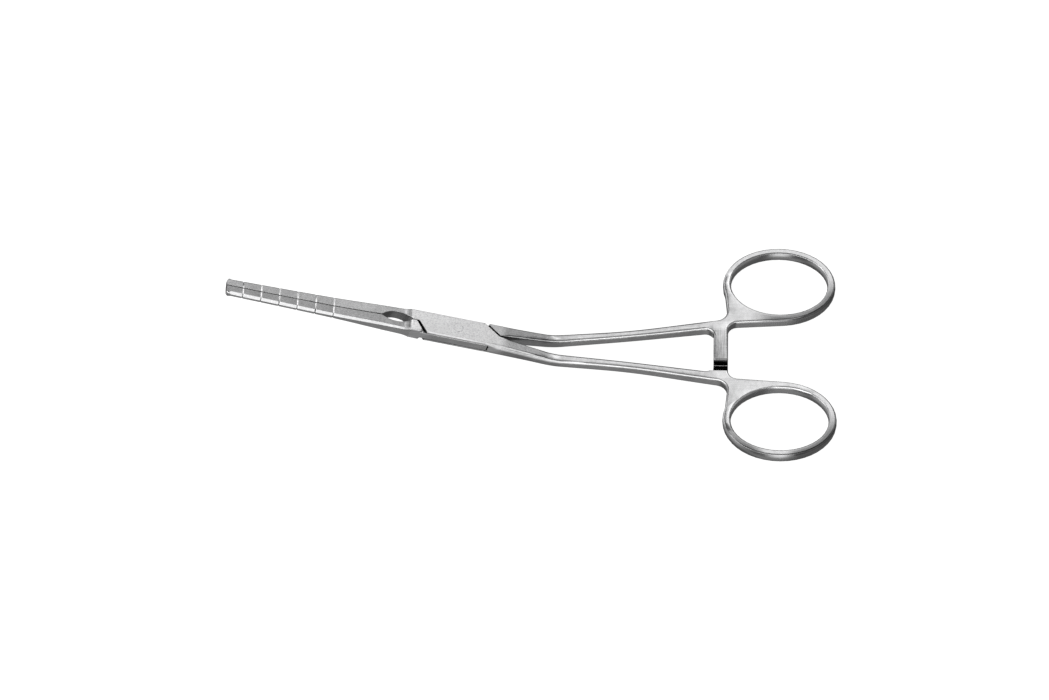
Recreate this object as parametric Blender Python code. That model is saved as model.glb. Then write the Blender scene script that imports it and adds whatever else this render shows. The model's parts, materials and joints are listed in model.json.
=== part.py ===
"""A 165 mm vascular clamp: two forged stainless steel halves that cross in a box lock and have a ratchet.

Each half is drawn flat in millimetres and then angled at its shank, as a smith would make it. In the flat
drawing s runs along the clamp from the angle in the shanks, positive towards the finger rings, y runs across
the clamp and z through its thickness. The box half carries the upper jaw (y > 0) and the lower ring; the
tenon half passes through it and carries the lower jaw and the upper ring.
"""

import math
from collections import namedtuple

import bmesh
import bpy
from mathutils import Matrix, Vector
from mathutils.geometry import tessellate_polygon

MM = 0.001

# Lengths along the clamp
JAW_LENGTH = 63.75
PIVOT_TO_ANGLE = 27.0
ANGLE_TO_RATCHET = 45.4
ANGLE_TO_RING = 61.2
SHANK_ANGLE = math.radians(17.1)
ANGLE_LENGTH = 5.0

# Jaws
TIP_WIDTH = 2.45
TIP_THICKNESS = 2.0
TIP_RADIUS = 0.75
MID_JAW_FROM_TIP = 28.75
MID_JAW_THICKNESS = 2.05
JAW_ROOT_STEP = 0.15
JAW_ROOT_THICKNESS = 3.05
JAW_SPACING = 0.2
EYE_TO_PIVOT = 21.15
EYE_LENGTH = 8.7
UPPER_EYE_DEPTH = 1.8
LOWER_EYE_DEPTH = 1.35
SHOULDER_TO_PIVOT = 13.0
SHOULDER_STEP = 0.5
SHOULDER_SLOPE_LENGTH = 2.6

# Calibration grooves round each jaw
MARK_FROM_TIP = 4.5
MARK_PITCH = 5.0
MARK_COUNT = 6
MARK_WIDTH = 0.42
MARK_DEPTH = 0.2

# Atraumatic teeth: one row stands on the upper jaw, between two rows on the lower jaw
ROW_FROM_TIP = 1.0
ROW_WIDTH = 0.36
ROW_HEIGHT = 0.26
ROW_CLEARANCE = 0.12
TOOTH_PITCH = 0.66
TOOTH_DEPTH = 0.16

# Box lock
BOX_WIDTH = 6.9
BOX_THICKNESS = 4.2
DISTAL_SHOULDER_INNER = 11.0
DISTAL_SHOULDER_OUTER = 8.7
PROXIMAL_SHOULDER_INNER = 11.4
PROXIMAL_SHOULDER_OUTER = 7.5
SHOULDER_GAP = 0.5
DISTAL_NOSE = 0.7
PROXIMAL_NOSE = 0.4
CORNER_LENGTH = 1.2
TENON_RADIUS = 9.2
TENON_THICKNESS = 2.3
TENON_CLEARANCE = 0.2
TENON_END_CLEARANCE = 0.35
TENON_FACE_CLEARANCE = 0.12
TENON_RECESS = 0.02
TENON_ANCHOR = 1.6
NECK_OFFSET = 0.25
PIN_DIAMETER = 2.6
PIN_FIT = 0.02
PIN_RUNNING_FIT = 0.15

# Shanks: their sides at the crotch, then the distance of their centre lines from the middle, and widths
SHANK_INNER_AT_CROTCH = 0.15
SHANK_SWELL_AT_CROTCH = 0.4
SHANK_OFFSET_AT_ANGLE = 3.2
SHANK_OFFSET_AT_WAIST = 5.15
SHANK_OFFSET_AT_RATCHET = 8.15
SHANK_WIDTH_AT_ANGLE = 2.7
SHANK_WIDTH_AT_WAIST = 2.15
SHANK_WIDTH_AT_RATCHET = 2.6
SHANK_THICKNESS_AT_ANGLE = 3.1
SHANK_THICKNESS_AT_WAIST = 2.9
ANGLE_TO_WAIST = 20.0
NECK_SHARE_AT_CROTCH = 0.88
NECK_SHARE_BEFORE_ANGLE = 0.69
NECK_END_S = 9.0
TAPER_BEFORE_CROTCH = 1.0
SHANK_END_TO_FILLET = 1.0

# Ratchet arms
ARM_WIDTH = 3.9
ARM_REACH = 3.4
ARM_CORNER = 0.5
LOWER_ARM_ROOT = 7.0
UPPER_ARM_ROOT = 6.2
ARM_INNER_FILLET = 2.2
ARM_OUTER_FILLET = 2.6
ARM_STEP_MARGIN = 0.6
RATCHET_CLEARANCE = 0.1
RATCHET_TOOTH_DEPTH = 0.62
RATCHET_PITCH = 0.95
RATCHET_TEETH = 10
RATCHET_FIRST_TOOTH = 6.1

# Finger rings
RING_OFFSET = 22.6
RING_LENGTH = 30.6
RING_WIDTH = 24.8
RING_WIRE = 2.2
RING_THICKNESS = 3.2
WEB_FILLET = 3.2
WEB_TO_SHANK = math.radians(197)
WEB_TO_ARM = math.radians(275)

# How an edge of the outline is broken: how far in and how far down, and its form from 0, flat, to 1, round
Edge = namedtuple("Edge", "inset drop roundness")
FINE_EDGE = Edge(0.07, 0.07, 0.0)
TIP_EDGE = Edge(0.4, 0.4, 0.3)
JAW_TIP_EDGE = Edge(0.65, 0.65, 0.0)
JAW_EDGE = Edge(0.52, 0.52, 0.0)
BOX_EDGE = Edge(0.38, 0.38, 0.0)
CORNER_EDGE = Edge(0.3, 0.3, 0.0)
NECK_EDGE = Edge(0.85, 1.4, 0.6)
SHANK_EDGE = Edge(0.72, 0.72, 1.0)
WEB_EDGE = Edge(0.6, 0.8, 1.0)
RING_EDGE = Edge(0.58, 1.45, 1.0)
TENON_EDGE = Edge(0.45, 0.45, 1.0)
SLOT_EDGE = Edge(0.5, 0.5, 1.0)
EDGE_STEPS = 3
CUT_MARGIN = 0.4
CUT_REACH = 2.0
CREST_MARGIN = 0.02

# Colours
SATIN_STEEL = (0.56, 0.56, 0.57, 1.0)
PIN_STEEL = (0.52, 0.52, 0.53, 1.0)

# Stations that the sizes above give
PIVOT_S = -PIVOT_TO_ANGLE
TIP_S = PIVOT_S - JAW_LENGTH
EYE_S = PIVOT_S - EYE_TO_PIVOT
EYE_END_S = EYE_S + EYE_LENGTH
SHOULDER_S = PIVOT_S - SHOULDER_TO_PIVOT
SLOPE_S = SHOULDER_S - SHOULDER_SLOPE_LENGTH
CROTCH_S = PIVOT_S + PROXIMAL_SHOULDER_INNER
SHANK_WIDTH_AT_CROTCH = BOX_WIDTH / 2 + SHANK_SWELL_AT_CROTCH - SHANK_INNER_AT_CROTCH
SHANK_OFFSET_AT_CROTCH = SHANK_INNER_AT_CROTCH + SHANK_WIDTH_AT_CROTCH / 2
ARM_LEFT_S = ANGLE_TO_RATCHET - ARM_WIDTH / 2
ARM_RIGHT_S = ANGLE_TO_RATCHET + ARM_WIDTH / 2
SHANK_END_S = ARM_LEFT_S - ARM_INNER_FILLET - SHANK_END_TO_FILLET
RING_OUTER = (RING_LENGTH / 2, RING_WIDTH / 2)
RING_INNER = (RING_LENGTH / 2 - RING_WIRE, RING_WIDTH / 2 - RING_WIRE)
JAW_FACE = JAW_SPACING / 2
PIN_HOLE = PIN_DIAMETER / 2 + PIN_FIT

PathPoint = namedtuple("PathPoint", "s y edge radius", defaults=(0.0,))


def spread(start, end, count):
    """Evenly spaced values from start to end, both included."""
    return [start + (end - start) * i / count for i in range(count + 1)]


def through(knots, s):
    """A smooth curve through (station, value) knots, level beyond the first and last."""
    if s <= knots[0][0]:
        return knots[0][1]
    if s >= knots[-1][0]:
        return knots[-1][1]
    i = max(k for k in range(len(knots) - 1) if knots[k][0] <= s)

    def slope(k):
        before = knots[max(k - 1, 0)]
        after = knots[min(k + 1, len(knots) - 1)]
        return (after[1] - before[1]) / (after[0] - before[0])

    (s0, v0), (s1, v1) = knots[i], knots[i + 1]
    span = s1 - s0
    t = (s - s0) / span
    return (
        v0 * (1 + 2 * t) * (1 - t) ** 2
        + slope(i) * span * t * (1 - t) ** 2
        + v1 * t * t * (3 - 2 * t)
        - slope(i + 1) * span * t * t * (1 - t)
    )


def mix(first, second, share):
    return Edge(*(a + (b - a) * share for a, b in zip(first, second)))


def jaw_width(s):
    """Distance from the middle of the clamp to a jaw's outer side."""
    root_width = BOX_WIDTH / 2 - JAW_ROOT_STEP
    return through([(TIP_S, TIP_WIDTH), (EYE_S, root_width), (SHOULDER_S, BOX_WIDTH / 2)], s)


def jaw_edge(s):
    if s < EYE_S:
        return mix(JAW_TIP_EDGE, JAW_EDGE, (s - TIP_S) / (EYE_S - TIP_S))
    return mix(JAW_EDGE, BOX_EDGE, min((s - EYE_S) / (SHOULDER_S - EYE_S), 1.0))


def shank_offset(s):
    knots = [
        (CROTCH_S, SHANK_OFFSET_AT_CROTCH),
        (0.0, SHANK_OFFSET_AT_ANGLE),
        (ANGLE_TO_WAIST, SHANK_OFFSET_AT_WAIST),
        (SHANK_END_S, SHANK_OFFSET_AT_RATCHET),
    ]
    return through(knots, s)


def shank_width(s):
    knots = [
        (CROTCH_S, SHANK_WIDTH_AT_CROTCH),
        (0.0, SHANK_WIDTH_AT_ANGLE),
        (ANGLE_TO_WAIST, SHANK_WIDTH_AT_WAIST),
        (SHANK_END_S, SHANK_WIDTH_AT_RATCHET),
    ]
    return through(knots, s)


def thickness(s):
    """Thickness of a half: thin at the tip, full in the box, slimmer along the shank, thicker at the ring."""
    if s < PIVOT_S:
        knots = [
            (TIP_S, TIP_THICKNESS),
            (TIP_S + MID_JAW_FROM_TIP, MID_JAW_THICKNESS),
            (EYE_S, JAW_ROOT_THICKNESS),
            (SLOPE_S, BOX_THICKNESS - 2 * SHOULDER_STEP),
        ]
        if s > SLOPE_S:
            share = max(SHOULDER_S - s, 0.0) / SHOULDER_SLOPE_LENGTH
            return BOX_THICKNESS - 2 * SHOULDER_STEP * (1 - (1 - share) ** 2)
    else:
        knots = [
            (CROTCH_S - TAPER_BEFORE_CROTCH, BOX_THICKNESS),
            (0.0, SHANK_THICKNESS_AT_ANGLE),
            (ANGLE_TO_WAIST, SHANK_THICKNESS_AT_WAIST),
            (ARM_LEFT_S, RING_THICKNESS),
        ]
    return through(knots, s)


JAW_STATIONS = spread(TIP_S + 1.8 * TIP_RADIUS, EYE_S, 10)
EYE_STATIONS = spread(EYE_S, EYE_END_S, 8)
SHANK_STATIONS = (
    spread(CROTCH_S, -ANGLE_LENGTH / 2, 4)
    + spread(-ANGLE_LENGTH / 2, ANGLE_LENGTH / 2, 5)[1:]
    + spread(ANGLE_LENGTH / 2, SHANK_END_S, 9)[1:]
)
SLOPE_STATIONS = spread(SLOPE_S, SHOULDER_S, 4)
BACK_STATIONS = [s for s in JAW_STATIONS + EYE_STATIONS[1:] if s < SLOPE_S] + SLOPE_STATIONS
CUT_STATIONS = JAW_STATIONS + EYE_STATIONS[1:] + SLOPE_STATIONS + SHANK_STATIONS + [ARM_LEFT_S]


def outer_edge(s):
    """The outer edge of a shank: broad and deep behind the box, down to a wire-like one past the angle."""
    knots = [(CROTCH_S, NECK_SHARE_AT_CROTCH), (-ANGLE_LENGTH, NECK_SHARE_BEFORE_ANGLE), (NECK_END_S, 0.0)]
    return mix(SHANK_EDGE, NECK_EDGE, through(knots, s))


def mirrored(path):
    """The same outline on the other side of the clamp, still with its material on the left."""
    return [point._replace(y=-point.y) for point in reversed(path)]


def filleted(path):
    """The closed path with each corner that has a radius turned into an arc."""
    result = []
    for i, corner in enumerate(path):
        if not corner.radius:
            result.append(corner)
            continue
        here = Vector((corner.s, corner.y))
        before = path[i - 1]
        after = path[(i + 1) % len(path)]
        back = (Vector((before.s, before.y)) - here).normalized()
        ahead = (Vector((after.s, after.y)) - here).normalized()
        half = back.angle(ahead) / 2
        centre = here + (back + ahead).normalized() * corner.radius / math.sin(half)
        start = here + back * corner.radius / math.tan(half) - centre
        turn = start.angle_signed(here + ahead * corner.radius / math.tan(half) - centre)
        steps = max(2, math.ceil(abs(turn) / math.radians(18)))
        for k in range(steps + 1):
            spot = centre + Matrix.Rotation(-turn * k / steps, 2) @ start
            result.append(PathPoint(spot.x, spot.y, corner.edge))
    return result


def jaw_face_path(eye_depth):
    """A jaw's contact face and its side of the eye, from the tip to the box, drawn as for the upper jaw."""
    path = [PathPoint(TIP_S, JAW_FACE, FINE_EDGE)]
    path += [PathPoint(s, JAW_FACE, FINE_EDGE) for s in JAW_STATIONS[:-1]]
    rise = eye_depth - JAW_FACE
    radius = (EYE_LENGTH**2 / 4 + rise**2) / (2 * rise)
    middle = (EYE_S + EYE_END_S) / 2
    for s in EYE_STATIONS:
        lift = max(math.sqrt(radius**2 - (s - middle) ** 2) - (radius - rise), 0.0)
        path.append(PathPoint(s, JAW_FACE + lift, FINE_EDGE))
    return path


def jaw_back_path():
    """The upper jaw's outer side, from the box back round the tip."""
    path = [PathPoint(s, jaw_width(s), jaw_edge(s)) for s in reversed(BACK_STATIONS)]
    path.append(PathPoint(TIP_S, jaw_width(TIP_S), TIP_EDGE, TIP_RADIUS))
    return path


def ring_point(size, angle, edge):
    return PathPoint(
        ANGLE_TO_RING + size[0] * math.cos(angle), RING_OFFSET + size[1] * math.sin(angle), edge
    )


def ring_edge(angle):
    """The edge round a ring: round, and finer where the flat web joins it."""
    outside = max(WEB_TO_SHANK - angle, angle - WEB_TO_ARM) / math.radians(30)
    return mix(WEB_EDGE, RING_EDGE, min(max(outside, 0.0), 1.0))


def ring_hole():
    angles = spread(2 * math.pi, 0.0, 44)[:-1]
    return [ring_point(RING_INNER, angle, ring_edge(angle)) for angle in angles]


def handle_path():
    """The upper shank, ratchet arm, web and ring, from the crotch round to the outer side of the box lock."""
    inner_edge = mix(CORNER_EDGE, SHANK_EDGE, 0.5)
    path = []
    for s in SHANK_STATIONS:
        edge = inner_edge if s < -ANGLE_LENGTH else SHANK_EDGE
        path.append(PathPoint(s, shank_offset(s) - shank_width(s) / 2, edge))
    slope = (path[-1].y - path[-2].y) / (path[-1].s - path[-2].s)
    root = path[-1].y + slope * (ARM_LEFT_S - path[-1].s)
    path.append(PathPoint(ARM_LEFT_S, root, WEB_EDGE, ARM_INNER_FILLET))
    path.append(PathPoint(ARM_LEFT_S, -ARM_REACH, CORNER_EDGE, ARM_CORNER))
    path.append(PathPoint(ARM_RIGHT_S, -ARM_REACH, CORNER_EDGE, ARM_CORNER))

    # The web's edge runs straight from the ratchet arm onto the ring
    landing = ring_point(RING_OUTER, WEB_TO_ARM, WEB_EDGE)
    rise = RING_OUTER[1] * math.cos(WEB_TO_ARM) / (-RING_OUTER[0] * math.sin(WEB_TO_ARM))
    path.append(
        PathPoint(ARM_RIGHT_S, landing.y - rise * (landing.s - ARM_RIGHT_S), WEB_EDGE, ARM_OUTER_FILLET)
    )
    for angle in spread(WEB_TO_ARM, WEB_TO_SHANK + 2 * math.pi, 34):
        around = angle if angle < 2 * math.pi else angle - 2 * math.pi
        path.append(ring_point(RING_OUTER, angle, ring_edge(around)))

    outer = [PathPoint(s, shank_offset(s) + shank_width(s) / 2, outer_edge(s)) for s in SHANK_STATIONS]
    slope = (outer[-1].y - outer[-2].y) / (outer[-1].s - outer[-2].s)
    corner_s = ARM_RIGHT_S
    path.append(PathPoint(corner_s, outer[-1].y + slope * (corner_s - outer[-1].s), WEB_EDGE, WEB_FILLET))
    path += reversed(outer)
    return path


def proximal_s(y, gap=0.0):
    """Station of the box's shoulder line behind the pivot at y, moved towards the rings by gap."""
    slope = (PROXIMAL_SHOULDER_INNER - PROXIMAL_SHOULDER_OUTER) / (BOX_WIDTH / 2)
    return PIVOT_S + PROXIMAL_SHOULDER_INNER - slope * y + gap


def distal_s(y, gap=0.0):
    """Station of the box's shoulder line in front of the pivot at -y, moved towards the tips by gap."""
    slope = (DISTAL_SHOULDER_INNER - DISTAL_SHOULDER_OUTER) / (BOX_WIDTH / 2)
    return PIVOT_S - DISTAL_SHOULDER_INNER + slope * y - gap


def box_half_outline():
    """The box half: upper jaw, box, lower shank and lower ring."""
    side = BOX_WIDTH / 2
    path = jaw_face_path(UPPER_EYE_DEPTH)
    path.append(PathPoint(distal_s(0.0), JAW_FACE, FINE_EDGE))
    path.append(PathPoint(distal_s(side), -side, CORNER_EDGE))
    path.append(PathPoint(distal_s(side) + CORNER_LENGTH, -side, BOX_EDGE))
    path.append(PathPoint(PIVOT_S, -side, BOX_EDGE))
    path.append(PathPoint(proximal_s(side), -side, BOX_EDGE))
    path += mirrored(handle_path())[:-1]
    path.append(PathPoint(CROTCH_S, -SHANK_INNER_AT_CROTCH, FINE_EDGE))
    path.append(PathPoint(proximal_s(side), side, CORNER_EDGE))
    path.append(PathPoint(proximal_s(side) - CORNER_LENGTH, side, BOX_EDGE))
    path.append(PathPoint(PIVOT_S, side, BOX_EDGE))
    return filleted(path + jaw_back_path())


def tenon_jaw_outline():
    """The lower jaw, up to the shoulder in front of the box."""
    side = BOX_WIDTH / 2
    inner = PathPoint(distal_s(0.0, SHOULDER_GAP), JAW_FACE, FINE_EDGE)
    nose = PathPoint(distal_s(side, SHOULDER_GAP), side, CORNER_EDGE, DISTAL_NOSE)
    path = jaw_face_path(LOWER_EYE_DEPTH) + [inner, nose] + jaw_back_path()
    return filleted(mirrored(path))


def tenon_handle_outline():
    """The upper shank and ring, from the shoulder behind the box."""
    crotch = PathPoint(CROTCH_S + SHOULDER_GAP, SHANK_INNER_AT_CROTCH, FINE_EDGE)
    side = BOX_WIDTH / 2
    corner = PathPoint(proximal_s(side, SHOULDER_GAP), side, CORNER_EDGE, PROXIMAL_NOSE)
    return filleted([crotch] + handle_path()[1:-1] + [corner])


def lock_outline(radius, half_width, neck, reach, edge, first_edge):
    """Plan of the tenon, or of the slot for it: a disc round the pivot with a neck to each shoulder."""
    edge_angle = math.asin(min(half_width / radius, 1.0))
    arc = spread(math.pi - edge_angle, math.pi - math.asin(-neck / radius), 10)
    front = [
        PathPoint(PIVOT_S + radius * math.cos(angle), radius * math.sin(angle), edge) for angle in arc
    ]
    front[0] = front[0]._replace(edge=first_edge)
    front[-1] = front[-1]._replace(edge=FINE_EDGE)
    back = [point._replace(s=2 * PIVOT_S - point.s, y=-point.y) for point in front]
    behind = [
        PathPoint(proximal_s(neck, reach), neck, FINE_EDGE),
        PathPoint(proximal_s(half_width, reach), half_width, FINE_EDGE),
    ]
    ahead = [
        PathPoint(distal_s(neck, reach), -neck, FINE_EDGE),
        PathPoint(distal_s(half_width, reach), -half_width, FINE_EDGE),
    ]
    return behind + front + ahead + back


def inset_directions(path):
    """For each point of a path, how far it moves into the material for a bevel of size 1."""
    directions = []
    for i, point in enumerate(path):
        here = Vector((point.s, point.y))
        before = path[i - 1]
        after = path[(i + 1) % len(path)]
        arriving = (here - Vector((before.s, before.y))).normalized()
        leaving = (Vector((after.s, after.y)) - here).normalized()
        first = Vector((-arriving.y, arriving.x))
        second = Vector((-leaving.y, leaving.x))
        inward = (first + second) / (1 + first.dot(second))
        if abs(inward.y) > 0.9 * inward.length:
            # Along the shanks and jaws a point stays on its station
            inward = Vector((0.0, inward.length_squared / inward.y))
        directions.append(inward)
    return directions


def bevel_levels():
    """(side, shares of inset and drop for a flat and a round bevel) from the bottom face to the top."""
    turns = spread(0.0, 1.0, EDGE_STEPS)
    quarter = math.pi / 2
    rising = [(1, t, 1 - t, 1 - math.cos(t * quarter), 1 - math.sin(t * quarter)) for t in turns]
    falling = [(-1,) + level[1:] for level in reversed(rising)]
    return falling + rising


def plate(name, outline, holes, half_thickness):
    """A flat plate with its edges broken as its outline says."""
    bm = bmesh.new()
    rims = []
    for path in [outline] + holes:
        inward = inset_directions(path)
        loops = []
        for side, flat_in, flat_drop, round_in, round_drop in bevel_levels():
            loop = []
            for point, direction in zip(path, inward):
                edge = point.edge
                inset = edge.inset * (flat_in + (round_in - flat_in) * edge.roundness)
                drop = edge.drop * (flat_drop + (round_drop - flat_drop) * edge.roundness)
                spot = Vector((point.s, point.y)) + direction * inset
                loop.append(bm.verts.new((spot.x, spot.y, side * (half_thickness - drop))))
            loops.append(loop)
        for lower, upper in zip(loops, loops[1:]):
            for i in range(len(path)):
                k = (i + 1) % len(path)
                bm.faces.new((lower[i], lower[k], upper[k], upper[i]))
        rims.append(loops)
    for level in (0, -1):
        rim = [loops[level] for loops in rims]
        corners = [vertex for loop in rim for vertex in loop]
        flat = [[Vector((v.co.x, v.co.y, 0.0)) for v in loop] for loop in rim]
        for triangle in tessellate_polygon(flat):
            bm.faces.new([corners[i] for i in triangle])
    bmesh.ops.recalc_face_normals(bm, faces=bm.faces)
    return as_object(name, bm)


def as_object(name, bm):
    mesh = bpy.data.meshes.new(name)
    bm.to_mesh(mesh)
    bm.free()
    obj = bpy.data.objects.new(name, mesh)
    bpy.context.scene.collection.objects.link(obj)
    return obj


def thin_to_profile(obj):
    """Gives a plate of the box's thickness the thickness that the half has at each station."""
    bm = bmesh.new()
    bm.from_mesh(obj.data)
    for s in CUT_STATIONS:
        geometry = bm.verts[:] + bm.edges[:] + bm.faces[:]
        bmesh.ops.bisect_plane(bm, geom=geometry, dist=1e-3, plane_co=(s, 0, 0), plane_no=(1, 0, 0))
    for vertex in bm.verts:
        change = (thickness(vertex.co.x) - BOX_THICKNESS) / 2
        vertex.co.z += math.copysign(1.0, vertex.co.z) * change
    bm.to_mesh(obj.data)
    bm.free()


def prism(name, outline, half_depth, placement):
    """A closed outline, extruded both ways and placed by a matrix."""
    curve = bpy.data.curves.new(name, "CURVE")
    curve.dimensions = "2D"
    curve.fill_mode = "BOTH"
    curve.extrude = half_depth
    spline = curve.splines.new("POLY")
    spline.points.add(len(outline) - 1)
    for point, (a, b) in zip(spline.points, outline):
        point.co = (a, b, 0.0, 1.0)
    spline.use_cyclic_u = True
    guide = bpy.data.objects.new(name, curve)
    bpy.context.scene.collection.objects.link(guide)
    graph = bpy.context.evaluated_depsgraph_get()
    mesh = bpy.data.meshes.new_from_object(guide.evaluated_get(graph))
    bpy.data.objects.remove(guide)
    bm = bmesh.new()
    bm.from_mesh(mesh)
    bpy.data.meshes.remove(mesh)
    bmesh.ops.remove_doubles(bm, verts=bm.verts, dist=1e-5)
    bmesh.ops.transform(bm, matrix=placement, verts=bm.verts)
    bmesh.ops.recalc_face_normals(bm, faces=bm.faces)
    return as_object(name, bm)


def loft(name, sections):
    """A solid through (s, outline in y and z) sections that have as many points each."""
    bm = bmesh.new()
    loops = [[bm.verts.new((s, y, z)) for y, z in outline] for s, outline in sections]
    for near, far in zip(loops, loops[1:]):
        for i in range(len(near)):
            k = (i + 1) % len(near)
            bm.faces.new((near[i], near[k], far[k], far[i]))
    for loop, (_, outline) in ((loops[0], sections[0]), (loops[-1], sections[-1])):
        for triangle in tessellate_polygon([[Vector((y, z, 0.0)) for y, z in outline]]):
            bm.faces.new([loop[i] for i in triangle])
    bmesh.ops.recalc_face_normals(bm, faces=bm.faces)
    return as_object(name, bm)


def across(s):
    """Places an outline drawn in (y, z) at station s."""
    return Matrix.Translation((s, 0, 0)) @ Matrix(((0, 0, 1, 0), (1, 0, 0, 0), (0, 1, 0, 0), (0, 0, 0, 1)))


def cylinder(name, radius, height, segments=48):
    bm = bmesh.new()
    bmesh.ops.create_cone(
        bm, cap_ends=True, segments=segments, radius1=radius, radius2=radius, depth=height
    )
    bmesh.ops.translate(bm, vec=(PIVOT_S, 0, 0), verts=bm.verts)
    return as_object(name, bm)


def boolean(obj, other, operation):
    """Joins other to obj, or cuts it away, and removes other."""
    other.hide_render = True
    other.display_type = "WIRE"
    modifier = obj.modifiers.new(other.name, "BOOLEAN")
    modifier.operation = operation
    modifier.object = other
    graph = bpy.context.evaluated_depsgraph_get()
    mesh = bpy.data.meshes.new_from_object(obj.evaluated_get(graph))
    obj.modifiers.remove(modifier)
    old = obj.data
    obj.data = mesh
    bpy.data.meshes.remove(old)
    bpy.data.objects.remove(other)


def joined(name, objects):
    """Several separate cutters as one object."""
    bm = bmesh.new()
    for obj in objects:
        bm.from_mesh(obj.data)
        bpy.data.objects.remove(obj)
    return as_object(name, bm)


def mark_section(s, side, depth):
    """A C round the jaw, from far outside it down to depth below its faces, as (y, z) points."""
    width = jaw_width(s)
    half = thickness(s) / 2
    bevel = jaw_edge(s).inset + depth * math.tan(math.pi / 8)
    clear = half + width
    upper = [(-width, half - depth), (width - bevel, half - depth), (width - depth, half - bevel)]
    lower = [(y, -z) for y, z in reversed(upper)]
    outer = [(-width, -clear), (width + clear, -clear), (width + clear, clear), (-width, clear)]
    return [(side * y, z) for y, z in upper + lower + outer]


def calibration_cutter(side):
    """The V-shaped grooves round one jaw, over its top, outer side and underside."""
    marks = []
    for i in range(MARK_COUNT):
        s = TIP_S + MARK_FROM_TIP + i * MARK_PITCH
        mouth = MARK_WIDTH / 2 * (1 + CUT_MARGIN / MARK_DEPTH)
        sections = [
            (s - mouth, mark_section(s, side, -CUT_MARGIN)),
            (s, mark_section(s, side, MARK_DEPTH)),
            (s + mouth, mark_section(s, side, -CUT_MARGIN)),
        ]
        marks.append(loft("mark", sections))
    return joined("marks", marks)


def notch_cutter(level, outward, low, high):
    """A row of notches for a face at y = level that looks along outward, between heights low and high."""
    start = TIP_S + ROW_FROM_TIP
    count = int((EYE_S - ROW_FROM_TIP - start) / TOOTH_PITCH)
    end = start + count * TOOTH_PITCH
    crest = level + outward * CREST_MARGIN
    outline = [(start, level + outward * CUT_MARGIN), (start, crest)]
    for i in range(count):
        outline.append((start + (i + 0.5) * TOOTH_PITCH, level - outward * TOOTH_DEPTH))
        outline.append((start + (i + 1) * TOOTH_PITCH, crest))
    outline.append((end, level + outward * CUT_MARGIN))
    return prism("notches", outline, (high - low) / 2, Matrix.Translation((0, 0, (low + high) / 2)))


def block(name, s, y, z):
    """A block between the given limits."""
    outline = [(s[0], y[0]), (s[1], y[0]), (s[1], y[1]), (s[0], y[1])]
    return prism(name, outline, (z[1] - z[0]) / 2, Matrix.Translation((0, 0, (z[0] + z[1]) / 2)))


def add_single_row(obj):
    """The upper jaw's row of teeth, standing on its face."""
    start = TIP_S + ROW_FROM_TIP
    end = EYE_S - ROW_FROM_TIP
    top = JAW_FACE - ROW_HEIGHT
    half = ROW_WIDTH / 2
    ridge = block("ridge", (start, end), (top, JAW_FACE + CUT_MARGIN), (-half, half))
    boolean(ridge, notch_cutter(top, -1, -ROW_WIDTH, ROW_WIDTH), "DIFFERENCE")
    boolean(obj, ridge, "UNION")


def add_double_row(obj):
    """The lower jaw's groove, and the row of teeth on each side of it."""
    start = TIP_S + ROW_FROM_TIP - ROW_CLEARANCE
    end = EYE_S - ROW_FROM_TIP + ROW_CLEARANCE
    half = ROW_WIDTH / 2 + ROW_CLEARANCE
    depth = ROW_HEIGHT + ROW_CLEARANCE - JAW_SPACING
    groove = block("groove", (start, end), (-JAW_FACE - depth, CUT_MARGIN), (-half, half))
    boolean(obj, groove, "DIFFERENCE")
    for low in (-half - ROW_WIDTH / 2, half / 2):
        boolean(obj, notch_cutter(-JAW_FACE, 1, low, low + ROW_WIDTH / 2 + half / 2), "DIFFERENCE")


def ratchet_cutter(side, arm_root):
    """The cut that leaves an arm its teeth: above the lower arm (side -1) or below the upper one (side 1)."""
    tip = RATCHET_CLEARANCE
    root = tip + RATCHET_TOOTH_DEPTH
    outline = [(-ARM_REACH - CUT_REACH, -BOX_THICKNESS), (arm_root, -BOX_THICKNESS), (arm_root, root)]
    for i in range(RATCHET_TEETH):
        outline.append((RATCHET_FIRST_TOOTH - i * RATCHET_PITCH, root))
        outline.append((RATCHET_FIRST_TOOTH - i * RATCHET_PITCH, tip))
    outline.append((RATCHET_FIRST_TOOTH - RATCHET_TEETH * RATCHET_PITCH, root))
    outline.append((-ARM_REACH - CUT_REACH, root))
    outline = [(side * y, side * z) for y, z in outline]
    reach = ARM_WIDTH / 2 + ARM_INNER_FILLET + ARM_STEP_MARGIN
    return prism("ratchet", outline, reach, across(ANGLE_TO_RATCHET))


def make_box_half():
    half = plate("box_half", box_half_outline(), [mirrored(ring_hole())], BOX_THICKNESS / 2)
    thin_to_profile(half)
    radius = TENON_RADIUS + TENON_END_CLEARANCE
    neck = NECK_OFFSET - TENON_CLEARANCE
    slot = lock_outline(radius, BOX_WIDTH / 2 + CUT_REACH, neck, TENON_ANCHOR / 2, SLOT_EDGE, SLOT_EDGE)
    slot_half = TENON_THICKNESS / 2 + TENON_FACE_CLEARANCE
    boolean(half, plate("slot", slot, [], slot_half), "DIFFERENCE")
    boolean(half, cylinder("pin_hole", PIN_HOLE, 2 * BOX_THICKNESS), "DIFFERENCE")
    boolean(half, ratchet_cutter(-1, LOWER_ARM_ROOT), "DIFFERENCE")
    boolean(half, calibration_cutter(1), "DIFFERENCE")
    add_single_row(half)
    return half


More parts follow.
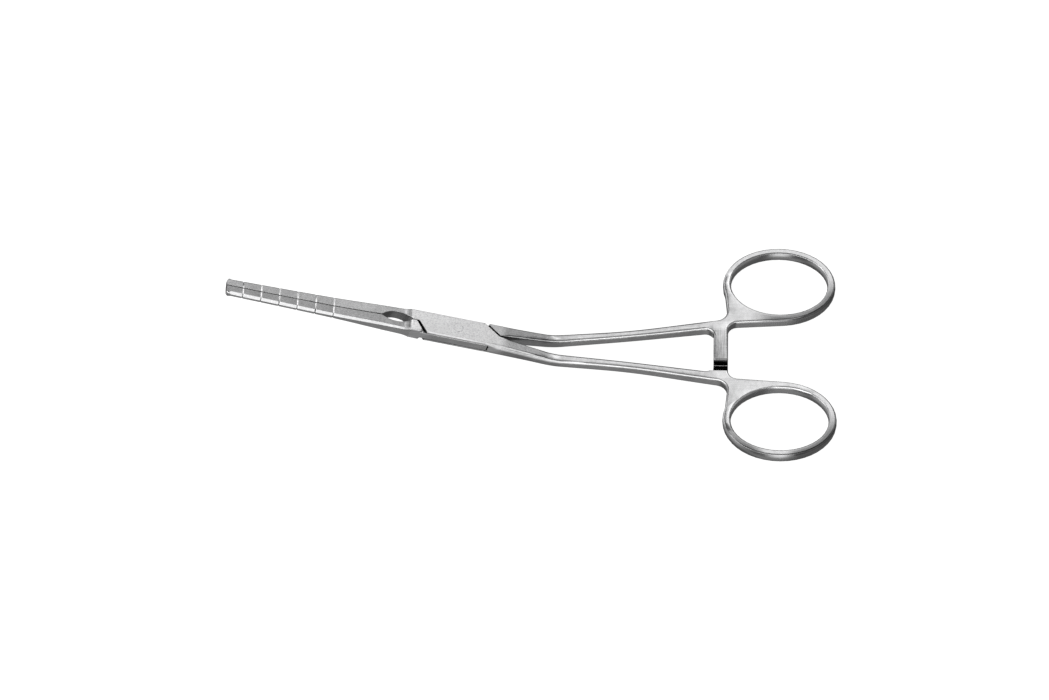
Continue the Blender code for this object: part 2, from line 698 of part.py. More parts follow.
def make_tenon_half():
    half = plate("tenon_half", tenon_handle_outline(), [ring_hole()], BOX_THICKNESS / 2)
    thin_to_profile(half)
    jaw = plate("lower_jaw", tenon_jaw_outline(), [], BOX_THICKNESS / 2)
    thin_to_profile(jaw)
    reach = SHOULDER_GAP + TENON_ANCHOR
    half_width = BOX_WIDTH / 2 - TENON_RECESS
    tenon = lock_outline(TENON_RADIUS, half_width, NECK_OFFSET, reach, TENON_EDGE, FINE_EDGE)
    boolean(half, plate("tenon", tenon, [], TENON_THICKNESS / 2), "UNION")
    boolean(half, jaw, "UNION")
    hole = cylinder("pin_clearance", PIN_DIAMETER / 2 + PIN_RUNNING_FIT, 2 * BOX_THICKNESS)
    boolean(half, hole, "DIFFERENCE")
    boolean(half, ratchet_cutter(1, UPPER_ARM_ROOT), "DIFFERENCE")
    boolean(half, calibration_cutter(-1), "DIFFERENCE")
    add_double_row(half)
    return half


def make_pin():
    return cylinder("pivot_pin", PIN_DIAMETER / 2, BOX_THICKNESS)


def angled(point):
    """Where a point of the flat drawing lies once the shanks are angled and the clamp rests on its rings."""
    s, y, z = point
    half = ANGLE_LENGTH / 2
    radius = ANGLE_LENGTH / SHANK_ANGLE
    tangent = radius * math.tan(SHANK_ANGLE / 2)
    if s >= half:
        x, height = s - half + tangent, z
    elif s <= -half:
        along = -s - half + tangent
        x = -along * math.cos(SHANK_ANGLE) + z * math.sin(SHANK_ANGLE)
        height = along * math.sin(SHANK_ANGLE) + z * math.cos(SHANK_ANGLE)
    else:
        turn = SHANK_ANGLE * (half - s) / ANGLE_LENGTH
        x = tangent - (radius - z) * math.sin(turn)
        height = radius - (radius - z) * math.cos(turn)
    reach = JAW_LENGTH + PIVOT_TO_ANGLE
    tip_x = -reach * math.cos(SHANK_ANGLE) - TIP_THICKNESS / 2 * math.sin(SHANK_ANGLE)
    middle = (tip_x + ANGLE_TO_RING + RING_LENGTH / 2) / 2
    return Vector((x - middle, y, height + RING_THICKNESS / 2)) * MM


def steel(name, colour, roughness):
    material = bpy.data.materials.new(name)
    material.use_nodes = True
    shader = material.node_tree.nodes["Principled BSDF"]
    shader.inputs["Base Color"].default_value = colour
    shader.inputs["Metallic"].default_value = 1.0
    shader.inputs["Roughness"].default_value = roughness
    material.diffuse_color = colour
    return material


def finish(obj, frame, parent, material, collection):
    """Angles the flat mesh, sets it in its frame, and gives it its parent, material and collection."""
    to_frame = frame.inverted()
    for vertex in obj.data.vertices:
        vertex.co = to_frame @ angled(vertex.co)
    obj.data.shade_smooth()
    obj.data.set_sharp_from_angle(angle=math.radians(30))
    obj.data.materials.clear()
    obj.data.materials.append(material)
    obj.parent = parent
    for old in list(obj.users_collection):
        old.objects.unlink(obj)
    collection.objects.link(obj)


def build():
    for obj in list(bpy.data.objects):
        bpy.data.objects.remove(obj)
    collection = bpy.data.collections.new("vascular_clamp")
    bpy.context.scene.collection.children.link(collection)
    satin = steel("satin_steel", SATIN_STEEL, 0.32)
    bright = steel("pin_steel", PIN_STEEL, 0.28)

    pivot_frame = Matrix.Translation(angled((PIVOT_S, 0, 0))) @ Matrix.Rotation(SHANK_ANGLE, 4, "Y")
    axis = bpy.data.objects.new("pivot_axis", None)
    axis.empty_display_size = 0.01
    axis.matrix_world = pivot_frame
    collection.objects.link(axis)

    finish(make_box_half(), Matrix.Identity(4), None, satin, collection)
    finish(make_tenon_half(), pivot_frame, axis, satin, collection)
    finish(make_pin(), pivot_frame, axis, bright, collection)


build()
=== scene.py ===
"""Looks of the vascular clamp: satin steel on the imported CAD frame, on a white floor in soft studio light."""

import json
import math

import bpy
from mathutils import Matrix, Vector

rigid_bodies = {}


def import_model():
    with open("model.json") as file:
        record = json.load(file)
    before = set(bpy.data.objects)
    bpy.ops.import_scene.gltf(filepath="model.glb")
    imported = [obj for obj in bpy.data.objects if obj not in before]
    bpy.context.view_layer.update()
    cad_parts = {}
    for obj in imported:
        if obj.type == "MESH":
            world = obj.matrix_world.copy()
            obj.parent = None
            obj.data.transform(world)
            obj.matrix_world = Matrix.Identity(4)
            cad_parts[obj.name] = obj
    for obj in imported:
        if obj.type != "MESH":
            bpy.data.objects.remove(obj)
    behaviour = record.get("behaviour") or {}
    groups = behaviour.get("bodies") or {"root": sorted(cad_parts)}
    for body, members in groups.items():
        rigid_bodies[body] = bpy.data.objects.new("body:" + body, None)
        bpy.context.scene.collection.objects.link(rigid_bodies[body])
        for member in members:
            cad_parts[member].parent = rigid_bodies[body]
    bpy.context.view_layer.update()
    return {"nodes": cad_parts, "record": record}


MM = 0.001

# Camera
IMAGE_WIDTH = 1049
FOCAL_PIXELS = 5552.4
SENSOR_WIDTH = 36.0
CAMERA_DISTANCE = 1500 * MM
CAMERA_CLIP = (30 * MM, 7500 * MM)
CAMERA_TARGET = Vector((-2.310, 0.172, 1.6)) * MM
CAMERA_ELEVATION = math.radians(53.238)
CAMERA_AZIMUTH = math.radians(2.431)
CAMERA_ROLL = math.radians(-1.212)

# Below, a pair of numbers is a start and an end, and three are a centre, a half width and its softness,
# unless a comment says otherwise.

# Jaws and box lock, as the CAD source builds them, measured from the pivot
PIVOT_TO_TIP = 63.75 * MM
MARK_FROM_TIP = 4.5 * MM
MARK_PITCH = 5.0 * MM
MARK_COUNT = 6
MARK_HALF_WIDTH = 0.17 * MM
MARK_REACH = (1.85 * MM, 2.6 * MM)
MARK_ROW_SOFTNESS = 0.5 * MM
MARK_LOWEST = 0.17 * MM
SLOPE_LENGTH = 2.4 * MM
JAW_GAP_SIDE = (0.0, 1.85 * MM, 0.1 * MM)
BOX_FRONT = 13.0 * MM
BOX_FRONT_SOFTNESS = 0.1 * MM
BOX_BEVEL_FADE = 3.0 * MM
BOX_REAR = -11.4 * MM
BOX_REAR_FADE = 3.0 * MM
TENON_REAR = 8.0 * MM
NECK_START = (-14.2 * MM, -11.6 * MM)
NECK_END = (-35.0 * MM, -26.0 * MM)

# Gaps at the shoulders of the box lock: where each crosses the middle line, and how far it leans from square
DISTAL_SHOULDER = (11.25 * MM, 0.667)
PROXIMAL_SHOULDER = (11.65 * MM, 1.130)
SHOULDER_HALF_WIDTH = 0.45 * MM
SHOULDER_HEIGHT = 1.3 * MM

# Ratchet, arms and rings, in the frame of the whole clamp. A ring's centre and half size are in x and y.
RATCHET_X = 50.67 * MM
RATCHET_HALF_LENGTH = 2.1 * MM
RATCHET_ROOT_HALF_LENGTH = 3.2 * MM
RATCHET_Y = 6.95 * MM
RATCHET_MIDDLE = 1.6 * MM
RATCHET_HALF_HEIGHT = 0.74 * MM
COVERED_REACH = (2.7 * MM, 3.1 * MM)
CREST_Y = 4.2 * MM
CREST_HALF_WIDTH = 0.3 * MM
CREST_HALF_HEIGHT = 0.24 * MM
ARM_HALF_REACH = 7.0 * MM
ARM_END_Y = -3.35 * MM
ARM_END_HALF_WIDTH = 0.4 * MM
RING_START_X = 46.0 * MM
RING_START_FADE = 4.0 * MM
RING_CENTRE = (66.47 * MM, 22.6 * MM)
RING_HALF = (15.3 * MM, 12.4 * MM)
WEB_END_X = (58.0 * MM, 66.0 * MM)
RING_GLARE = (65.3 * MM, 4.0 * MM, 2.5 * MM)

# Soft edges of the marks, gaps, teeth, crests and arms, as shares of their half widths
MARK_SOFTNESS = 1 / 3
SHOULDER_SOFTNESS = 1 / 6
TEETH_REACH_SOFTNESS = 1 / 40
TEETH_HEIGHT_SOFTNESS = 1 / 20
CREST_SOFTNESS = 1 / 4
ARM_SOFTNESS = 1 / 8

# The tilt of a face is 1 on the upper and lower faces of the box lock and 0 on its sides
FACE_TILT = (0.80, 0.88)
BEVEL_TILT = (0.707, 0.1, 0.03)
RING_TILT = (0.2, 0.6)

# Places on a ring: how far out from its centre, where 1 is its outer edge, and how far to its near side,
# where 1 is the nearest place
RING_OUTSIDE = (0.83, 0.93)
RING_FACING = (-0.3, 0.4)

# Smooth shading
SMOOTH_BELOW = math.radians(32)
WELD_DISTANCE = 0.002 * MM
FLAT_FACE_WEIGHT = 90

# Patterns of the surface, made from noise, of which the middle part is used
BRUSH_LENGTH = 5.0 * MM
BRUSH_WIDTH = 0.15 * MM
ARM_BRUSH_WIDTH = 2 * BRUSH_WIDTH
BRUSH_DETAIL = 2.0
GRAIN_SIZE = 0.16 * MM
GRAIN_DETAIL = 2.0
BEAD_SIZE = 0.42 * MM
BEAD_DETAIL = 1.0
MOTTLE_SIZE = 7.0 * MM
MOTTLE_DETAIL = 3.0
NOISE_ROUGHNESS = 0.55
NOISE_RANGE = (0.3, 0.7)

# Tones of the steel
STEEL_TONE = 0.63
# Painted shade on the jaws' upper faces, deeper on the lower jaw than on the upper
UPPER_JAW_SHADED_TONE = 0.47
LOWER_JAW_SHADED_TONE = 0.37
# Painted highlight on bevelled edges, weaker on the box lock
BEVEL_HIGHLIGHT_TONE = 1.0
BOX_BEVEL_HIGHLIGHT_SHARE = 0.35
# The calibration grooves are real; their white on the jaws' upper faces is a painted highlight
MARK_HIGHLIGHT_TONE = 1.0
# Painted highlight on the ratchet's crests, which are matt
CREST_HIGHLIGHT_TONE = 0.9
# Painted shade, nearly black, along the gaps at the shoulders of the box lock
GAP_SHADE_TONE = 0.02

# What is added to the tone
BOX_LIGHTER = 0.32
MOTTLE_TONES = (-0.04, 0.04)
BRUSH_TONES = (-0.08, 0.08)
ARM_BRUSH_TONES = (-0.06, 0.06)
BEAD_TONES = (-0.13, 0.13)
RING_BRUSHING = 0.35

# What the tone is multiplied by
# Painted shade on the slope from the jaws up to the box lock
SLOPE_SHADE_FACTOR = 0.5
# Painted shade on the shanks behind the box lock: on their sides, and on the faces of each half
NECK_SIDE_SHADE = 0.72
UPPER_NECK_SHADE = 0.70
LOWER_NECK_SHADE = 0.84
# Painted shade on the jaws' sides that face each other
JAW_GAP_SHADE = 0.55
ARM_FACTOR = 0.74
# Painted shade on the upper arm's end
ARM_END_SHADE = 0.45
# Painted shade, nearly black, on the ratchet's teeth outside the covered part
TEETH_SHADE = 0.06
RING_FACTOR = 0.32
# Painted shade in narrow places, from ambient occlusion
CREVICE_SHADE_FACTOR = 0.02
CREVICE_OPENNESS = (0.3, 0.8)
CREVICE_REACH = 0.8 * MM
CREVICE_SAMPLES = 8
BLUE_FACTOR = 1.008

# Roughness and relief
STEEL_ROUGHNESS = 0.22
BOX_ROUGHER = 0.14
MOTTLE_ROUGHNESS = (-0.03, 0.04)
GRAIN_ROUGHNESS = (-0.03, 0.03)
EDGE_SOFTNESS = 0.09 * MM
EDGE_SAMPLES = 6
WAVE_HEIGHT = 0.12 * MM
WAVE_STRENGTH = 1.0
RELIEF_HEIGHT = 0.01 * MM
RELIEF_STRENGTH = 0.12
BRUSH_RELIEF = 0.6
BEAD_RELIEF = 2.5

# Studio: each light is a window in azimuth (0 in front, positive to the right) and elevation, in degrees:
# centre, half width and softness of each, and then its brightness
WORLD_BASE = 0.115
WORLD_LIGHTS = {
    "back_softbox": ((172, 15, 3), (54, 20, 10), 1.06),
    "jaw_card": ((148, 12, 4), (50, 20, 10), 0.74),
    "back_glare": ((164, 7, 4), (51, 8, 5), 1.1),
    "overhead": ((0, 200, 5), (80, 17, 7), 0.3),
    "front_strip": ((0, 13, 9), (16, 20, 10), 1.9),
    "front_low": ((0, 13, 9), (-16, 18, 10), 0.95),
    "front_right": ((27, 13, 8), (30, 11, 7), 1.6),
    "front_left": ((-56, 40, 10), (22, 22, 8), 2.1),
    "left_card": ((-131, 22, 12), (12, 28, 8), 0.9),
    "right_rim": ((110, 20, 12), (8, 20, 10), 0.55),
    "left_fill": ((-95, 40, 15), (-15, 25, 10), 0.3),
    "right_fill": ((70, 30, 15), (5, 30, 12), 0.25),
    "floor_glow": ((-14, 36, 15), (-58, 20, 12), 0.16),
}
FLOOR_SIZE = 1600 * MM
FLOOR_COLOUR = 0.30
FLOOR_GLOW = 0.94


class Nodes:
    """A short way to add and link shader nodes."""

    def __init__(self, tree):
        self.tree = tree

    def add(self, kind, inputs=(), **settings):
        node = self.tree.nodes.new(kind)
        for name, value in settings.items():
            setattr(node, name, value)
        for name, value in dict(inputs).items():
            self.put(node.inputs[name], value)
        return node

    def put(self, socket, value):
        if isinstance(value, bpy.types.NodeSocket):
            self.tree.links.new(value, socket)
        else:
            socket.default_value = value

    def math(self, operation, *values):
        return self.add("ShaderNodeMath", dict(enumerate(values)), operation=operation).outputs[0]

    def vector(self, operation, *values):
        return self.add("ShaderNodeVectorMath", dict(enumerate(values)), operation=operation)

    def product(self, first, *others):
        for other in others:
            first = self.math("MULTIPLY", first, other)
        return first

    def total(self, first, *others):
        for other in others:
            first = self.math("ADD", first, other)
        return first

    def span(self, value, low, high, out_low=0.0, out_high=1.0, smooth=True):
        """A value between low and high, turned into one between out_low and out_high."""
        kind = "SMOOTHSTEP" if smooth else "LINEAR"
        inputs = {0: value, 1: low, 2: high, 3: out_low, 4: out_high}
        return self.add("ShaderNodeMapRange", inputs, interpolation_type=kind).outputs[0]

    def near(self, value, centre, half, softness):
        """1 within half of the centre, falling to 0 over twice the softness."""
        away = self.math("ABSOLUTE", self.math("SUBTRACT", value, centre))
        return self.span(away, half - softness, half + softness, 1.0, 0.0)

    def band(self, value, centre, half, softness):
        """The same, with the softness as a share of the half."""
        return self.near(value, centre, half, half * softness)

    def blend(self, share, first, second):
        """First where the share is 0 and second where it is 1."""
        inputs = {"Factor": share, "A": first, "B": second}
        return self.add("ShaderNodeMix", inputs, data_type="FLOAT").outputs["Result"]

    def factor(self, share, value):
        """1 where the share is 0, and the value where it is 1."""
        return self.blend(share, 1.0, value)

    def offset(self, place, origin, direction):
        """How far a place lies from an origin along a direction."""
        distance = self.vector("DOT_PRODUCT", place, direction).outputs["Value"]
        return self.math("SUBTRACT", distance, origin.dot(direction))

    def noise(self, place, scale, detail):
        inputs = {"Vector": place, "Scale": scale, "Detail": detail, "Roughness": NOISE_ROUGHNESS}
        return self.add("ShaderNodeTexNoise", inputs).outputs["Fac"]

    def streaks(self, place, lengths):
        """Noise that is drawn out by a length along each axis."""
        scale = tuple(1 / length for length in lengths)
        return self.noise(self.vector("MULTIPLY", place, scale).outputs["Vector"], 1.0, BRUSH_DETAIL)

    def spread(self, noise, amounts):
        """Noise turned into amounts from the first to the second."""
        return self.span(noise, *NOISE_RANGE, *amounts)

    def bump(self, height, strength, distance, normal):
        inputs = {"Height": height, "Strength": strength, "Distance": distance, "Normal": normal}
        return self.add("ShaderNodeBump", inputs).outputs["Normal"]


class Steel(Nodes):
    """Stainless steel of one half: where a place is on the clamp, and the finish, painted highlights and
    painted shade it has there.
    """

    def __init__(self, tree, pivot, axis, box_rear):
        super().__init__(tree)
        place = self.add("ShaderNodeTexCoord").outputs["Object"]
        self.x, self.y, self.z = self.add("ShaderNodeSeparateXYZ", {0: place}).outputs
        self.along = self.offset(place, pivot, Vector((-axis.z, 0.0, axis.x)))
        self.height = self.offset(place, pivot, axis)
        self.sideways = self.math("ABSOLUTE", self.y)
        self.upper = self.math("GREATER_THAN", self.y, 0.0)
        normal = self.add("ShaderNodeNewGeometry").outputs["True Normal"]
        self.tilt = self.math("ABSOLUTE", self.vector("DOT_PRODUCT", normal, axis).outputs["Value"])
        self.face = self.span(self.tilt, *FACE_TILT)

        front = (BOX_FRONT - BOX_FRONT_SOFTNESS, BOX_FRONT + BOX_FRONT_SOFTNESS)
        self.jaw = self.span(self.along, *front)
        behind_jaw = self.span(self.along, *front, 1.0, 0.0)
        self.box_rear = box_rear
        self.box = self.product(behind_jaw, self.span(self.along, box_rear - BOX_REAR_FADE, box_rear))
        self.brushed = self.span(self.x, RING_START_X - RING_START_FADE, RING_START_X, 1.0, RING_BRUSHING)

        self.brushing = self.streaks(place, (BRUSH_LENGTH, BRUSH_WIDTH, BRUSH_WIDTH))
        self.arm_brushing = self.streaks(place, (ARM_BRUSH_WIDTH, BRUSH_LENGTH, BRUSH_WIDTH))
        self.grain = self.noise(place, 1 / GRAIN_SIZE, GRAIN_DETAIL)
        self.beads = self.noise(place, 1 / BEAD_SIZE, BEAD_DETAIL)
        self.mottle = self.noise(place, 1 / MOTTLE_SIZE, MOTTLE_DETAIL)
        self.arms, self.arm_end, self.teeth, self.crests = self.ratchet()

    def calibration_marks(self):
        """Where the grooves cross the jaws' upper faces: real grooves, painted white there as a highlight."""
        first = PIVOT_TO_TIP - MARK_FROM_TIP
        middle = first - (MARK_COUNT - 1) * MARK_PITCH / 2
        half_pitch = MARK_PITCH / 2
        to_line = self.math("WRAP", self.math("SUBTRACT", self.along, first), half_pitch, -half_pitch)
        lines = self.band(to_line, 0.0, MARK_HALF_WIDTH, MARK_SOFTNESS)
        row = self.near(self.along, middle, MARK_COUNT * half_pitch, MARK_ROW_SOFTNESS)
        reach = self.span(self.along, first, BOX_FRONT, *MARK_REACH, smooth=False)
        within = self.math("LESS_THAN", self.sideways, reach)
        above = self.math("GREATER_THAN", self.height, MARK_LOWEST)
        return self.product(lines, row, within, above)

    def shoulder_gap_shade(self):
        """Where the two halves meet in diagonal lines across the box lock: painted shade, nearly black, along
        the gaps.
        """
        lines = 0.0
        for direction, (start, lean) in ((1.0, DISTAL_SHOULDER), (-1.0, PROXIMAL_SHOULDER)):
            reach = self.math("SUBTRACT", start, self.product(self.sideways, lean))
            offset = self.math("SUBTRACT", self.product(self.along, direction), reach)
            line = self.band(offset, 0.0, SHOULDER_HALF_WIDTH, SHOULDER_SOFTNESS)
            beside = self.math("LESS_THAN", self.product(self.y, direction), 0.0)
            lines = self.math("MAXIMUM", lines, self.product(line, beside))
        above = self.math("GREATER_THAN", self.math("ABSOLUTE", self.height), SHOULDER_HEIGHT)
        return self.product(lines, above)

    def ratchet(self):
        """Where the ratchet's arms are, the upper arm's end and the teeth outside the covered part, which get
        painted shade, and the crests that show, which get a painted highlight.
        """
        half = self.blend(self.upper, RATCHET_ROOT_HALF_LENGTH, RATCHET_HALF_LENGTH)
        away = self.math("ABSOLUTE", self.math("SUBTRACT", self.x, RATCHET_X))
        length = self.math("LESS_THAN", away, half)
        arms = self.product(length, self.band(self.sideways, 0.0, ARM_HALF_REACH, ARM_SOFTNESS))
        end = self.product(arms, self.band(self.y, ARM_END_Y, ARM_END_HALF_WIDTH, ARM_SOFTNESS))
        teeth = self.product(
            length,
            self.band(self.sideways, 0.0, RATCHET_Y, TEETH_REACH_SOFTNESS),
            self.span(self.sideways, *COVERED_REACH),
            self.band(self.z, RATCHET_MIDDLE, RATCHET_HALF_HEIGHT, TEETH_HEIGHT_SOFTNESS),
        )
        crests = self.product(
            length,
            self.band(self.sideways, CREST_Y, CREST_HALF_WIDTH, CREST_SOFTNESS),
            self.band(self.z, RATCHET_MIDDLE, CREST_HALF_HEIGHT, CREST_SOFTNESS),
        )
        return arms, end, teeth, crests

    def ring_shade(self):
        """Where the rings turn away from the light: outside, on their near sides, but for one glare."""
        across = self.math("DIVIDE", self.math("SUBTRACT", self.x, RING_CENTRE[0]), RING_HALF[0])
        centre = self.product(self.math("SIGN", self.y), RING_CENTRE[1])
        nearness = self.math("DIVIDE", self.math("SUBTRACT", centre, self.y), RING_HALF[1])
        square = self.total(self.product(across, across), self.product(nearness, nearness))
        glare = self.blend(self.upper, self.near(self.x, *RING_GLARE), 0.0)
        return self.product(
            self.span(self.math("SQRT", square), *RING_OUTSIDE),
            self.span(nearness, *RING_FACING),
            self.blend(self.upper, 1.0, self.span(self.x, *WEB_END_X)),
            self.math("SUBTRACT", 1.0, glare),
            self.span(self.tilt, *RING_TILT),
            self.span(self.x, RING_START_X, WEB_END_X[0]),
        )

    def crevice_shade(self):
        """A factor of painted shade in narrow places, from ambient occlusion."""
        inputs = {"Distance": CREVICE_REACH}
        occlusion = self.add("ShaderNodeAmbientOcclusion", inputs, samples=CREVICE_SAMPLES)
        return self.span(occlusion.outputs["AO"], *CREVICE_OPENNESS, CREVICE_SHADE_FACTOR, 1.0)

    def slope(self, jaw_face):
        """A factor that paints shade on the slope from the jaws up to the box lock: a painted dark reflection.
        """
        rising = self.span(self.along, BOX_FRONT, BOX_FRONT + SLOPE_LENGTH, SLOPE_SHADE_FACTOR, 1.0, smooth=False)
        return self.factor(jaw_face, rising)

    def neck_shade(self, neck_shade_factor):
        """A factor of painted shade on the shanks behind the box lock, with one strength on their sides and
        another on their faces.
        """
        neck_shade = self.product(self.span(self.along, *NECK_START, 1.0, 0.0), self.span(self.along, *NECK_END))
        return self.factor(neck_shade, self.blend(self.face, NECK_SIDE_SHADE, neck_shade_factor))

    def jaw_gap_shade(self):
        """Where the jaws' sides face each other: they get painted shade."""
        side = self.math("SUBTRACT", 1.0, self.face)
        return self.product(self.jaw, self.near(self.y, *JAW_GAP_SIDE), side)

    def bevel(self):
        """Where bevelled edges get a painted highlight: ahead of the box half's rear, and behind the tenon
        half's jaw.
        """
        return self.product(
            self.near(self.tilt, *BEVEL_TILT),
            self.span(self.along, self.box_rear, 0.0),
            self.span(self.along, BOX_FRONT - BOX_BEVEL_FADE, BOX_FRONT, BOX_BEVEL_HIGHLIGHT_SHARE, 1.0),
        )

    def tone(self, shaded_jaw_tone, neck_shade_factor):
        """How light the steel is, with its painted highlights and painted shade."""
        jaw_face = self.product(self.jaw, self.face)
        tone = self.blend(jaw_face, STEEL_TONE, shaded_jaw_tone)
        tone = self.blend(self.bevel(), tone, BEVEL_HIGHLIGHT_TONE)
        tone = self.product(tone, self.neck_shade(neck_shade_factor), self.factor(self.arms, ARM_FACTOR))
        beaded = self.total(self.spread(self.beads, BEAD_TONES), BOX_LIGHTER)
        tone = self.total(
            tone,
            self.spread(self.mottle, MOTTLE_TONES),
            self.product(self.spread(self.brushing, BRUSH_TONES), self.brushed),
            self.product(self.spread(self.arm_brushing, ARM_BRUSH_TONES), self.arms),
            self.product(self.box, self.face, beaded),
        )
        tone = self.product(
            tone,
            self.factor(self.arm_end, ARM_END_SHADE),
            self.factor(self.ring_shade(), RING_FACTOR),
            self.factor(self.jaw_gap_shade(), JAW_GAP_SHADE),
            self.crevice_shade(),
            self.slope(jaw_face),
            self.factor(self.teeth, TEETH_SHADE),
        )
        tone = self.blend(self.shoulder_gap_shade(), tone, GAP_SHADE_TONE)
        tone = self.blend(self.crests, tone, CREST_HIGHLIGHT_TONE)
        return self.blend(self.calibration_marks(), tone, MARK_HIGHLIGHT_TONE)

    def metallic(self):
        """Steel, but for the crests: they are matt, with a painted highlight that shows against the painted
        shade of the teeth.
        """
        return self.math("SUBTRACT", 1.0, self.crests)

    def roughness(self):
        return self.total(
            STEEL_ROUGHNESS,
            self.spread(self.mottle, MOTTLE_ROUGHNESS),
            self.spread(self.grain, GRAIN_ROUGHNESS),
            self.product(self.box, BOX_ROUGHER),
        )

    def normal(self):
        """Slightly rounded edges, broad waves, and the fine relief of brushing, grain and beads."""
        relief = self.total(
            self.product(self.brushing, BRUSH_RELIEF, self.brushed),
            self.grain,
            self.product(self.beads, self.box, BEAD_RELIEF),
        )
        rounded = self.add("ShaderNodeBevel", {"Radius": EDGE_SOFTNESS}, samples=EDGE_SAMPLES).outputs[0]
        wavy = self.bump(self.mottle, WAVE_STRENGTH, WAVE_HEIGHT, rounded)
        return self.bump(relief, RELIEF_STRENGTH, RELIEF_HEIGHT, wavy)


def make_camera():
    """The camera of the photograph."""
    azimuth, elevation, roll = CAMERA_AZIMUTH, CAMERA_ELEVATION, CAMERA_ROLL
    back = Vector(
        (
            math.sin(azimuth) * math.cos(elevation),
            -math.cos(azimuth) * math.cos(elevation),
            math.sin(elevation),
        )
    )
    level = Vector((math.cos(azimuth), math.sin(azimuth), 0.0))
    upright = back.cross(level)
    right = math.cos(roll) * level + math.sin(roll) * upright
    up = -math.sin(roll) * level + math.cos(roll) * upright
    data = bpy.data.cameras.new("camera")
    data.sensor_width = SENSOR_WIDTH
    data.lens = FOCAL_PIXELS / IMAGE_WIDTH * SENSOR_WIDTH
    data.clip_start, data.clip_end = CAMERA_CLIP
    camera = bpy.data.objects.new("camera", data)
    turned = Matrix((right, up, back)).transposed().to_4x4()
    camera.matrix_world = Matrix.Translation(CAMERA_TARGET + back * CAMERA_DISTANCE) @ turned
    bpy.context.scene.collection.objects.link(camera)
    bpy.context.scene.camera = camera


def make_world():
    """Soft studio light: a dark room with bright cards, which the steel reflects."""
    world = bpy.data.worlds.new("studio")
    world.use_nodes = True
    world.node_tree.nodes.clear()
    nodes = Nodes(world.node_tree)
    direction = nodes.add("ShaderNodeTexCoord").outputs["Generated"]
    x, y, z = nodes.add("ShaderNodeSeparateXYZ", {0: direction}).outputs
    azimuth = nodes.math("ARCTAN2", x, nodes.product(y, -1.0))
    elevation = nodes.math("ARCSINE", z)
    light = WORLD_BASE
    for across, upward, brightness in WORLD_LIGHTS.values():
        centre, half, softness = (math.radians(value) for value in across)
        turned = nodes.math("WRAP", nodes.math("SUBTRACT", azimuth, centre), math.pi, -math.pi)
        window = nodes.near(turned, 0.0, half, softness)
        window = nodes.product(window, nodes.near(elevation, *(math.radians(value) for value in upward)))
        light = nodes.total(nodes.product(window, brightness), light)
    background = nodes.add("ShaderNodeBackground", {"Color": (1, 1, 1, 1), "Strength": light})
    output = nodes.add("ShaderNodeOutputWorld")
    nodes.put(output.inputs["Surface"], background.outputs[0])
    bpy.context.scene.world = world


def make_floor():
    """A plain white floor that the rings rest on. Steel reflects the studio below it, and not the floor."""
    size = FLOOR_SIZE / 2
    mesh = bpy.data.meshes.new("floor")
    corners = [(-size, -size, 0), (size, -size, 0), (size, size, 0), (-size, size, 0)]
    mesh.from_pydata(corners, [], [(0, 1, 2, 3)])
    floor = bpy.data.objects.new("floor", mesh)
    material = bpy.data.materials.new("floor_white")
    material.use_nodes = True
    nodes = Nodes(material.node_tree)
    shader = material.node_tree.nodes["Principled BSDF"]
    shader.inputs["Base Color"].default_value = (FLOOR_COLOUR, FLOOR_COLOUR, FLOOR_COLOUR, 1)
    shader.inputs["Roughness"].default_value = 1.0
    shader.inputs["Specular IOR Level"].default_value = 0.0
    shader.inputs["Emission Color"].default_value = (1, 1, 1, 1)
    seen = nodes.add("ShaderNodeLightPath").outputs["Is Camera Ray"]
    nodes.put(shader.inputs["Emission Strength"], nodes.product(seen, FLOOR_GLOW))
    mesh.materials.append(material)
    floor.visible_glossy = False
    bpy.context.scene.collection.objects.link(floor)


def satin_steel(name, shaded_jaw_tone, neck_shade_factor, pivot, axis, box_rear):
    """Stainless steel: finely brushed, with the box lock glass-beaded and brighter, and with painted highlights
    and painted shade.
    """
    material = bpy.data.materials.new(name)
    material.use_nodes = True
    shader = material.node_tree.nodes["Principled BSDF"]
    steel = Steel(material.node_tree, pivot, axis, box_rear)
    tone = steel.tone(shaded_jaw_tone, neck_shade_factor)
    tint = steel.add("ShaderNodeCombineColor", {0: tone, 1: tone, 2: steel.product(tone, BLUE_FACTOR)})
    steel.put(shader.inputs["Base Color"], tint.outputs[0])
    steel.put(shader.inputs["Metallic"], steel.metallic())
    steel.put(shader.inputs["Roughness"], steel.roughness())
    steel.put(shader.inputs["Normal"], steel.normal())
    return material


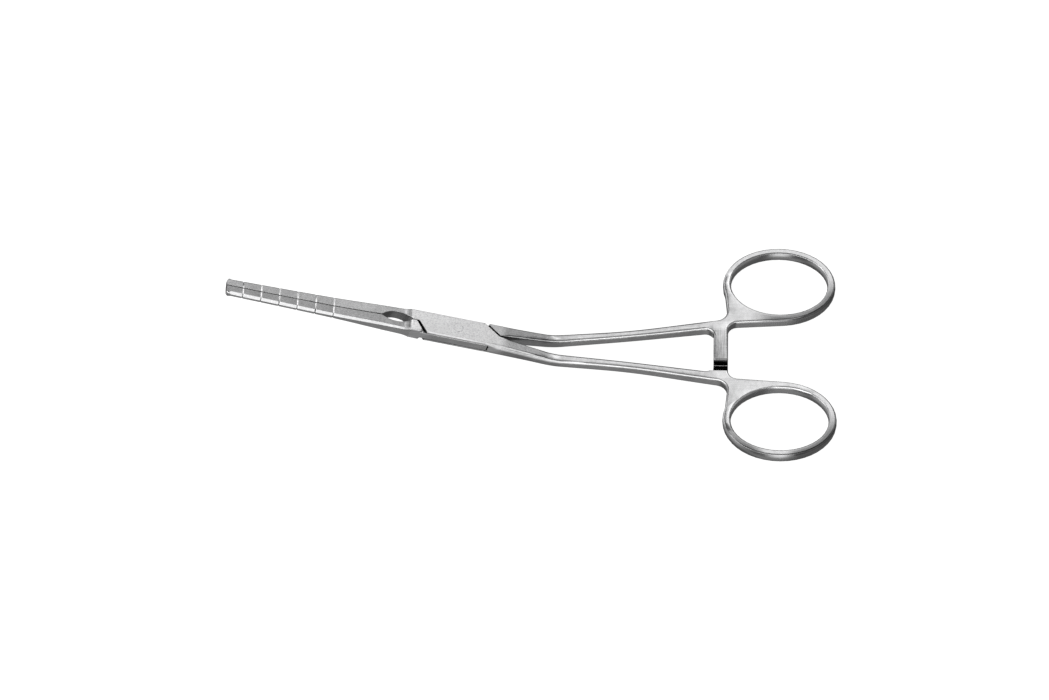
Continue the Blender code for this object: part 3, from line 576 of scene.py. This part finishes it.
def smoothing_group():
    """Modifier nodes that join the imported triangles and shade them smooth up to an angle."""
    tree = bpy.data.node_groups.new("smooth_to_angle", "GeometryNodeTree")
    tree.interface.new_socket("Geometry", in_out="INPUT", socket_type="NodeSocketGeometry")
    tree.interface.new_socket("Geometry", in_out="OUTPUT", socket_type="NodeSocketGeometry")
    nodes = Nodes(tree)
    start = nodes.add("NodeGroupInput").outputs[0]
    welded = nodes.add("GeometryNodeMergeByDistance", {"Geometry": start, "Distance": WELD_DISTANCE})
    angle = nodes.add("GeometryNodeInputMeshEdgeAngle").outputs["Unsigned Angle"]
    shallow = nodes.add("FunctionNodeCompare", {0: angle, 1: SMOOTH_BELOW}, operation="LESS_EQUAL")
    faces = nodes.add("GeometryNodeSetShadeSmooth", {"Geometry": welded.outputs[0]}, domain="FACE")
    edges = nodes.add(
        "GeometryNodeSetShadeSmooth",
        {"Geometry": faces.outputs[0], "Shade Smooth": shallow.outputs[0]},
        domain="EDGE",
    )
    nodes.put(nodes.add("NodeGroupOutput").inputs[0], edges.outputs[0])
    return tree


def dress(node, material, smoothing):
    """Gives a CAD node its finish, smooth shading and clean normals."""
    node.data.materials.clear()
    node.data.materials.append(material)
    smooth = node.modifiers.new("smooth", "NODES")
    smooth.node_group = smoothing
    weighted = node.modifiers.new("flat_faces_stay_flat", "WEIGHTED_NORMAL")
    weighted.keep_sharp = True
    weighted.weight = FLAT_FACE_WEIGHT


for leftover in list(bpy.data.objects):
    bpy.data.objects.remove(leftover)
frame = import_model()

make_camera()
make_world()
make_floor()
hinge = frame["record"]["behaviour"]["joints"][0]
pivot = Vector(hinge["pos_m"])
axis = Vector(hinge["axis"])
# Each half gets its own painted shade on the jaws and on the shanks behind the box lock
box_finish = satin_steel("box_half_steel", UPPER_JAW_SHADED_TONE, LOWER_NECK_SHADE, pivot, axis, BOX_REAR)
tenon_finish = satin_steel("tenon_half_steel", LOWER_JAW_SHADED_TONE, UPPER_NECK_SHADE, pivot, axis, TENON_REAR)
smoothing = smoothing_group()
dress(frame["nodes"]["box_half"], box_finish, smoothing)
dress(frame["nodes"]["tenon_half"], tenon_finish, smoothing)
dress(frame["nodes"]["pivot_pin"], box_finish, smoothing)

bpy.context.scene.view_settings.view_transform = "Standard"
